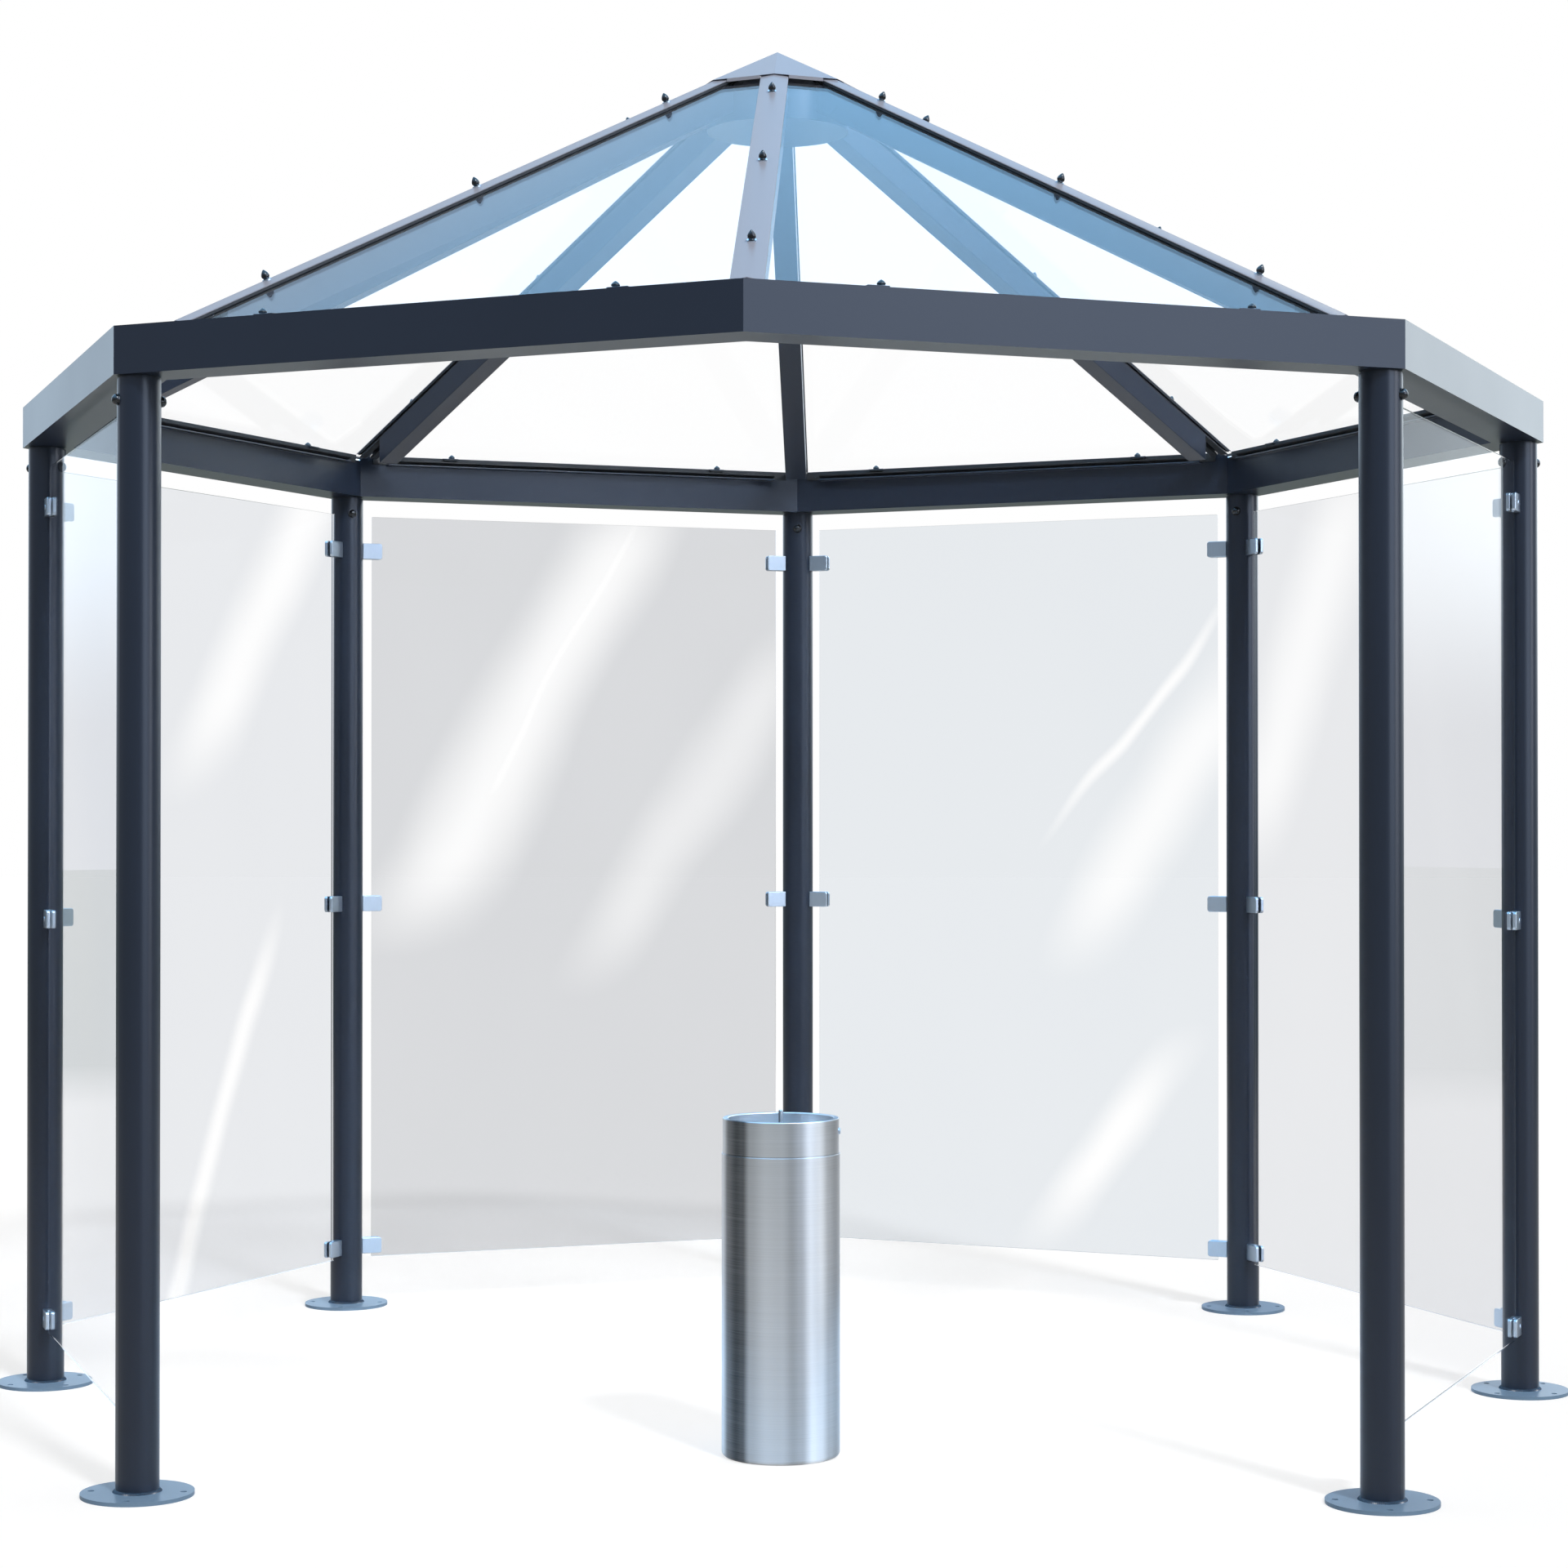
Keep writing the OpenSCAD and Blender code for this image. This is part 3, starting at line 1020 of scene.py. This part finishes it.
@dataclass
class Glazing:
    """Roof panes and wall panes, their edges ground."""

    arris: float = 0.0008
    wall_ior: float = 1.045

    def wall(self, tint: Rgb, *streaks: ReflectionStreak) -> PaneGlass:
        """The glass of a wall pane with its tint and its painted reflection streaks."""
        return PaneGlass("wall_pane", "wall_glass", tint, streaks, ior=self.wall_ior)

    def walls(self) -> dict[Side, PaneGlass]:
        """The glass of every wall pane; each tint is partly the glass's own slight tint and partly
        painted shade that differs from pane to pane.
        """
        return {
            Side.RIGHT_FRONT: self.wall(
                (0.95, 0.95, 0.955), ReflectionStreak(0.0, 0.60, 0.25, 0.25, 0.6, 2.2)
            ),
            Side.RIGHT_BACK: self.wall(
                (0.80, 0.81, 0.83), ReflectionStreak(-0.72, 0.60, 0.30, 0.80, 1.15, 2.45)
            ),
            Side.BACK_RIGHT: self.wall(
                (0.79, 0.82, 0.85),
                ReflectionStreak(0.02, 0.758, 0.035, 0.95, 1.22, 2.10),
                ReflectionStreak(0.31, 0.56, 0.17, 0.85, 0.85, 1.95),
                ReflectionStreak(0.81, 0.69, 0.13, 1.0, 0.05, 0.85),
            ),
            Side.BACK_LEFT: self.wall(
                (0.675, 0.685, 0.705),
                ReflectionStreak(-0.43, 0.557, 0.25, 0.90, 0.92, 2.45),
                ReflectionStreak(-0.42, 0.557, 0.07, 1.0, 1.15, 2.45),
                ReflectionStreak(0.21, 0.64, 0.20, 0.50, 0.78, 2.05),
            ),
            Side.LEFT_BACK: self.wall(
                (0.80, 0.815, 0.84),
                ReflectionStreak(-0.95, 0.0, 0.62, 0.90),
                ReflectionStreak(-0.30, 0.748, 0.22, 0.95, 1.35, 2.55),
                ReflectionStreak(0.355, 0.468, 0.07, 1.0, -0.2, 1.20),
            ),
            Side.LEFT_FRONT: self.wall(
                (0.985, 0.99, 1.0), ReflectionStreak(0.10, 0.60, 0.35, 0.60, 0.3, 2.2)
            ),
        }

    def build(self) -> None:
        """Builds every pane in its glass."""
        roof = Finish(ROOF_GLASS.material(), ROOF_GLASS.slot)
        for side in Side:
            eased(f"roof_glass_{side.name.lower()}", "ground", roof, self.arris, 1)
        for side, glass in self.walls().items():
            finish = Finish(glass.material(side), glass.slot)
            eased(f"wall_glass_{side.name.lower()}", "ground", finish, self.arris, 1)


@dataclass
class Clamps:
    """Satin clamps that hold the wall panes, each with its screw."""

    edge_r: float = 0.0018
    thickness: float = 0.026
    length: float = 0.054
    heights: tuple[float, ...] = (0.165, 1.130, 2.125)
    screw_from_nose: float = 0.040

    def build(self, fixings: Fixings, finishes: Finishes) -> None:
        """Builds the clamps with eased edges, and the screws on their outer faces."""
        eased("glass_clamps", "eased", finishes.steel, self.edge_r, 3)
        face_a = PLAN.post_circle_r * cos(PLAN.half_angle) + self.thickness / 2
        half_side = PLAN.post_circle_r * sin(PLAN.half_angle)
        along = half_side - PLAN.post_r - self.length + self.screw_from_nose
        places = [
            facing(side) @ at(face_a, end * along, height) @ Z_TO_X
            for side in GLAZED_SIDES
            for height in self.heights
            for end in (-1.0, 1.0)
        ]
        fixings.socket_screw().copied(places).finished("clamp_screws", finishes.steel)


@dataclass
class AshBin:
    """Free-standing drum with a brushed shell, a sunk bowl and a lock on its right side."""

    sheet_t: float = 0.002
    shell_h: float = 0.652
    head_r: float = 0.126
    bowl_r: float = 0.114
    bowl_z: float = 0.683
    top_z: float = 0.728
    pin_top: float = 0.744
    lock_z: float = 0.700
    foot_r: float = 0.010
    rim: float = 0.0022
    cove_r: float = 0.012
    pin_r: float = 0.005
    lock_turn: float = radians(-4.0)
    flats: int = 128

    def build(self, finishes: Finishes) -> None:
        """Builds the shell, head, pin and lock."""
        low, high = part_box("ash_bin")
        middle = (low + high) / 2
        radius = (high.x - low.x) / 2
        floor = at(middle.x, middle.y, 0.0)
        rolled = RolledSteel("drum_steel", "brushed_stainless", (middle.x, middle.y, 0.0))
        steel = Finish(rolled.material(), rolled.slot)
        sheet, foot_r, rim, cove_r = self.sheet_t, self.foot_r, self.rim, self.cove_r
        joint, head_r, bowl_r = self.shell_h, self.head_r, self.bowl_r
        bowl, top = self.bowl_z, self.top_z
        inner = radius - sheet
        foot = arc((radius - foot_r, foot_r), foot_r, -90.0, 15.0, 7)
        shell = Workpiece()
        shell.turned(
            [(0.0, 0.0), *foot, (radius, joint - 0.0006), (radius - 0.0006, joint),
             (inner + 0.0003, joint), (inner, joint - 0.0004), (inner, 0.004), (0.0, 0.004)],
            floor, self.flats,
        )
        shell.finished("ash_bin_shell", steel, ["ash_bin"])
        roll = arc((head_r - rim, top - rim), rim, 0.0, 18.0, 6)
        lip = arc((bowl_r + rim, top - rim), rim, 90.0, 18.0, 6)
        cove = arc((bowl_r - cove_r, bowl + cove_r), cove_r, 0.0, -15.0, 7)
        collar = inner - 0.0004
        head = Workpiece()
        head.turned(
            [(collar, joint - 0.012), (collar, joint + 0.002), (head_r - 0.0005, joint + 0.002),
             (head_r, joint + 0.0026), *roll, *lip, *cove, (0.0, bowl), (0.0, bowl - sheet),
             (bowl_r + sheet - cove_r, bowl - sheet), (bowl_r + sheet, bowl + cove_r - sheet),
             (bowl_r + sheet, top - sheet * 1.5), (head_r - sheet, top - sheet * 1.5),
             (head_r - sheet, joint - 0.012)],
            floor, self.flats, closed=True,
        )
        pin, foot_of_pin = self.pin_r, bowl - 0.001
        head.turned(
            [(0.0, foot_of_pin), (pin + 0.003, foot_of_pin), (pin + 0.003, bowl + 0.002),
             (pin, bowl + 0.003), (pin, self.pin_top - 0.0015), (pin - 0.0015, self.pin_top),
             (0.0, self.pin_top)],
            floor, 32,
        )
        head.finished("ash_bin_head_turned", steel, ["ash_bin_head"])
        side = floor @ about_z(self.lock_turn)
        lock = Workpiece()
        lock.turned(
            [(0.0, -0.004), (0.007, -0.004), (0.007, 0.0025), (0.006, 0.0035), (0.003, 0.0035),
             (0.003, 0.0025), (0.0, 0.0025)],
            side @ at(self.head_r, 0.0, self.lock_z) @ Z_TO_X, 32,
        )
        lock.finished("ash_bin_lock", finishes.steel)


# ---- Studio


@dataclass(frozen=True)
class SoftPanel:
    """A large soft light that only shows in reflections, its angles in degrees.

    Attributes:
        azimuth: Direction of its middle, from +X towards +Y.
        half_width: Half of its width.
        low: Sine of its lower edge's elevation.
        high: Sine of its upper edge's elevation.
        colour: Its colour times its strength.
        soft: Width of its soft border.
    """

    azimuth: float
    half_width: float
    low: float
    high: float
    colour: Rgb
    soft: float = 6.0


@dataclass
class Studio:
    """Pale floor, even light and the camera."""

    floor_size: float = 120.0
    floor_albedo: float = 0.45
    floor_lift: float = 0.61
    room_light: float = 0.66
    sun_strength: float = 1.6
    sun_from: Triple = (0.62, -1.0, 1.15)
    sun_width: float = radians(7.0)
    mirror_lift: float = 0.50
    ground_colour: Rgb = (0.14, 0.20, 0.18)
    ground_from: float = 8.5
    ground_to: float = 11.0
    horizon_colour: Rgb = (0.50, 0.54, 0.62)
    room_colour: Rgb = (0.38, 0.44, 0.56)
    sky_colour: Rgb = (0.98, 1.95, 3.05)
    sky_low: float = 0.25
    sky_high: float = 0.62
    panels: tuple[SoftPanel, ...] = (
        SoftPanel(-41.0, 14.0, -0.05, 0.70, (3.0, 3.5, 4.4)),
        SoftPanel(-12.0, 7.0, -0.30, 0.70, (4.6, 4.9, 5.6), 4.0),
        SoftPanel(55.0, 24.0, 0.06, 0.60, (2.5, 2.8, 3.0), 10.0),
        SoftPanel(120.0, 24.0, 0.06, 0.60, (1.2, 1.5, 1.8), 10.0),
    )
    eye: Triple = (0.2644, -7.7333, 1.3894)
    yaw: float = -0.0321
    pitch: float = 0.0086
    lens: float = 73.51

    def seen(self, recipe: Recipe, mirrored: float = 1.0) -> Socket:
        """1 on rays from the camera and through glass, and 0 on diffuse ones.

        Args:
            recipe: The node tree to add to.
            mirrored: The value on rays from mirrors.

        Returns:
            The value.
        """
        rays = recipe.node("LightPath").outputs
        straight = recipe.maths("MAXIMUM", rays["Is Camera Ray"], rays["Is Transmission Ray"])
        return recipe.maths(
            "MAXIMUM", straight, recipe.maths("MULTIPLY", rays["Is Glossy Ray"], mirrored)
        )

    def mirrored(self, recipe: Recipe) -> Socket:
        """1 on rays that a mirror has sent, also where they then pass glass, and 0 on others."""
        depth = recipe.node("LightPath").outputs["Glossy Depth"]
        return recipe.maths("GREATER_THAN", depth, 0.5)

    def floor(self) -> None:
        """Lays the pale floor, which keeps the shelter's soft shadow."""
        sheet = bmesh.new()
        bmesh.ops.create_grid(sheet, x_segments=1, y_segments=1, size=self.floor_size / 2)
        data = bpy.data.meshes.new("studio_floor")
        sheet.to_mesh(data)
        sheet.free()
        recipe = Recipe(data.name)
        matt = recipe.node("BsdfDiffuse", (self.floor_albedo,) * 3)
        lift = recipe.maths("MULTIPLY", self.seen(recipe, self.mirror_lift), self.floor_lift)
        glow = recipe.named("Emission", Strength=lift)
        both = recipe.node("AddShader", matt.outputs[0], glow.outputs[0])
        distance = recipe.node("VectorMath", recipe.place(), operation="LENGTH")
        far = recipe.spread(distance.outputs["Value"], 0.0, 1.0, self.ground_from, self.ground_to)
        ground = recipe.node("Emission", self.ground_colour)
        share = recipe.maths("MULTIPLY", self.mirrored(recipe), far)
        data.materials.append(recipe.done(recipe.mixed(share, both, ground)))
        put(data.name, data)

    def reflected(self, recipe: Recipe) -> Socket:
        """The colour of the room in reflections: its walls, the sky light and the panels."""
        parts = recipe.axes(recipe.node("TexCoord").outputs["Generated"])
        wall = recipe.spread(parts[2], 0.0, 1.0, 0.0, self.sky_low, True)
        walls = recipe.blend(wall, self.horizon_colour, self.room_colour)
        rise = recipe.spread(parts[2], 0.0, 1.0, self.sky_low, self.sky_high, True)
        colour = recipe.blend(rise, walls, self.sky_colour)
        turn = recipe.maths("ARCTAN2", parts[1], parts[0])
        edge = 0.04
        for panel in self.panels:
            off = recipe.maths("SUBTRACT", turn, radians(panel.azimuth))
            away = recipe.maths("ABSOLUTE", off)
            inner = radians(panel.half_width - panel.soft / 2)
            outer = radians(panel.half_width + panel.soft / 2)
            across = recipe.spread(away, 1.0, 0.0, inner, outer, True)
            height = recipe.window(parts[2], panel.low - edge, panel.high + edge, 2 * edge)
            share = recipe.maths("MULTIPLY", across, height)
            colour = recipe.blend(share, colour, panel.colour)
        return colour

    def light(self) -> None:
        """Lights the room evenly, with a soft lamp from the front right."""
        world = bpy.data.worlds.new("studio")
        bpy.context.scene.world = world
        recipe = Recipe("studio", world)
        even = recipe.named("Background", Strength=self.room_light)
        colour = recipe.blend(self.mirrored(recipe), (1.0, 1.0, 1.0), self.reflected(recipe))
        shown = recipe.node("Background", colour)
        recipe.done(recipe.mixed(self.seen(recipe), even, shown))
        lamp = bpy.data.lights.new("key_lamp", "SUN")
        lamp.energy = self.sun_strength
        lamp.angle = self.sun_width
        key = put("key_lamp", lamp)
        key.rotation_euler = Vector(self.sun_from).to_track_quat("Z", "Y").to_euler()

    def camera(self) -> None:
        """Stands the camera in front, a little right of the middle, at eye height."""
        data = bpy.data.cameras.new("camera")
        data.lens = self.lens
        camera = put("camera", data)
        camera.location = self.eye
        camera.rotation_euler = (pi / 2 + self.pitch, 0.0, -self.yaw)
        bpy.context.scene.camera = camera

    def build(self) -> None:
        """Sets up the floor, the light, the camera and the plain view."""
        self.floor()
        self.light()
        self.camera()
        bpy.context.scene.view_settings.view_transform = "Standard"


def main() -> None:
    """Builds the shelter's looks around the frame, and the studio."""
    finishes = Finishes.mixed()
    fixings = Fixings()
    Studio().build()
    Posts().build(fixings, finishes)
    Eaves().build(finishes)
    RoofFrame().build(fixings, finishes)
    EdgeClips().build(fixings, finishes)
    Glazing().build()
    Clamps().build(fixings, finishes)
    AshBin().build(finishes)


if __name__ == "__main__":
    logging.basicConfig(level=logging.INFO, format="%(name)s: %(message)s")
    main()
